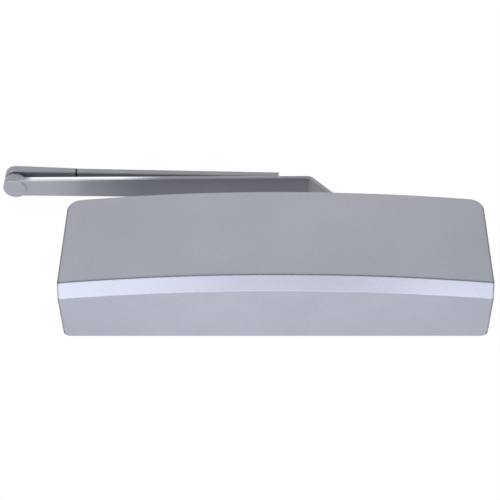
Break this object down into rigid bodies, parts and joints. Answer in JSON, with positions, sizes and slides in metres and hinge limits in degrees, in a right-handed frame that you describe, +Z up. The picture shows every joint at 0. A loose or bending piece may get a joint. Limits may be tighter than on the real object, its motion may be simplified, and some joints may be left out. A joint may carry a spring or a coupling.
{
  "type": "surface door closer",
  "caption": "Surface-mounted door closer with a bowed silver cover, a cranked main arm on its spindle and a folding forearm of adjustable length.",
  "frame": {"origin": "centre of the rectangle of the four door screw holes, on the face that bears on the door", "axes": "+X along the door towards the spindle's end, +Y into the door, +Z up along the spindle"},
  "size_m": [0.3906, 0.065, 0.1511],
  "materials": {
    "cover_paint": "satin silver paint on moulded plastic",
    "arm_paint": "satin silver paint on steel",
    "cast_body": "grey painted casting",
    "machined_steel": "turned and ground",
    "spring_steel": "oil tempered",
    "zinc_screw": "bright zinc",
    "bearing_bronze": "sintered bronze",
    "seal_rubber": "matte",
    "bush_plastic": "black nylon"
  },
  "bodies": {
    "closer": {"cover": "cover_paint", "cover_screws": "zinc_screw", "closer_body": "cast_body", "closing_plug": "machined_steel", "spring_plug": "machined_steel", "plug_seals": "seal_rubber", "adjuster_seal": "seal_rubber", "spring": "spring_steel", "upper_bearing": "bearing_bronze", "lower_bearing": "bearing_bronze", "spindle_seal": "seal_rubber", "upper_cap": "machined_steel", "lower_cap": "machined_steel"},
    "adjuster": {"spring_adjuster": "machined_steel"},
    "seat": {"spring_seat": "machined_steel"},
    "piston_group": {"piston": "machined_steel", "check_valve_seat": "machined_steel", "check_valve_ball": "spring_steel"},
    "arm": {"spindle": "machined_steel", "main_arm": "arm_paint", "arm_washer": "zinc_screw", "arm_screw": "zinc_screw", "elbow_pin": "zinc_screw", "elbow_washer": "bush_plastic"},
    "link": {"forearm_link": "arm_paint", "elbow_bush": "bearing_bronze", "clamp_screw": "zinc_screw", "clamp_washer": "zinc_screw"},
    "forearm": {"forearm_tube": "arm_paint", "forearm_end_block": "machined_steel", "pivot_bush": "bearing_bronze"},
    "closing_needle": {"closing_valve": "zinc_screw", "closing_valve_seal": "seal_rubber"},
    "latching_needle": {"latching_valve": "zinc_screw", "latching_valve_seal": "seal_rubber"},
    "backcheck_needle": {"backcheck_valve": "zinc_screw", "backcheck_valve_seal": "seal_rubber"}
  },
  "joints": [
    {"name": "main_arm_swing", "type": "hinge", "parent": "closer", "child": "arm", "pos_m": [0.065, -0.03, 0], "axis": [0, 0, 1], "range_deg": [0, 180], "stiffness_Nm_per_rad": 12},
    {"name": "piston_slide", "type": "slide", "parent": "closer", "child": "piston_group", "axis": [-1, 0, 0], "range_m": [0, 0.0303], "deforming": ["spring"]},
    {"name": "spring_adjust", "type": "hinge", "parent": "closer", "child": "adjuster", "pos_m": [-0.131, -0.03, 0], "axis": [1, 0, 0], "range_deg": [-1080, 2880]},
    {"name": "spring_seat_slide", "type": "slide", "parent": "closer", "child": "seat", "axis": [1, 0, 0], "range_m": [-0.0046, 0.0121]},
    {"name": "elbow_swing", "type": "hinge", "parent": "arm", "child": "link", "pos_m": [-0.21579, -0.03221, 0.09785], "axis": [0, 0, 1], "continuous": true},
    {"name": "forearm_adjust", "type": "slide", "parent": "link", "child": "forearm", "axis": [0.9995, 0.0305, 0], "range_m": [0, 0.025]},
    {"name": "closing_valve_turn", "type": "hinge", "parent": "closer", "child": "closing_needle", "pos_m": [0.1378, -0.0105, 0.0158], "axis": [1, 0, 0], "range_deg": [-180, 540]},
    {"name": "latching_valve_turn", "type": "hinge", "parent": "closer", "child": "latching_needle", "pos_m": [0.1378, -0.0105, -0.0158], "axis": [1, 0, 0], "range_deg": [-180, 540]},
    {"name": "backcheck_valve_turn", "type": "hinge", "parent": "closer", "child": "backcheck_needle", "pos_m": [-0.1378, -0.0105, 0.0158], "axis": [-1, 0, 0], "range_deg": [-180, 540]}
  ],
  "couplings": [
    {"joint": "piston_slide", "follows": "main_arm_swing", "m_per_rad": 0.0096},
    {"joint": "spring_seat_slide", "follows": "spring_adjust", "m_per_rad": 0.00023873}
  ]
}
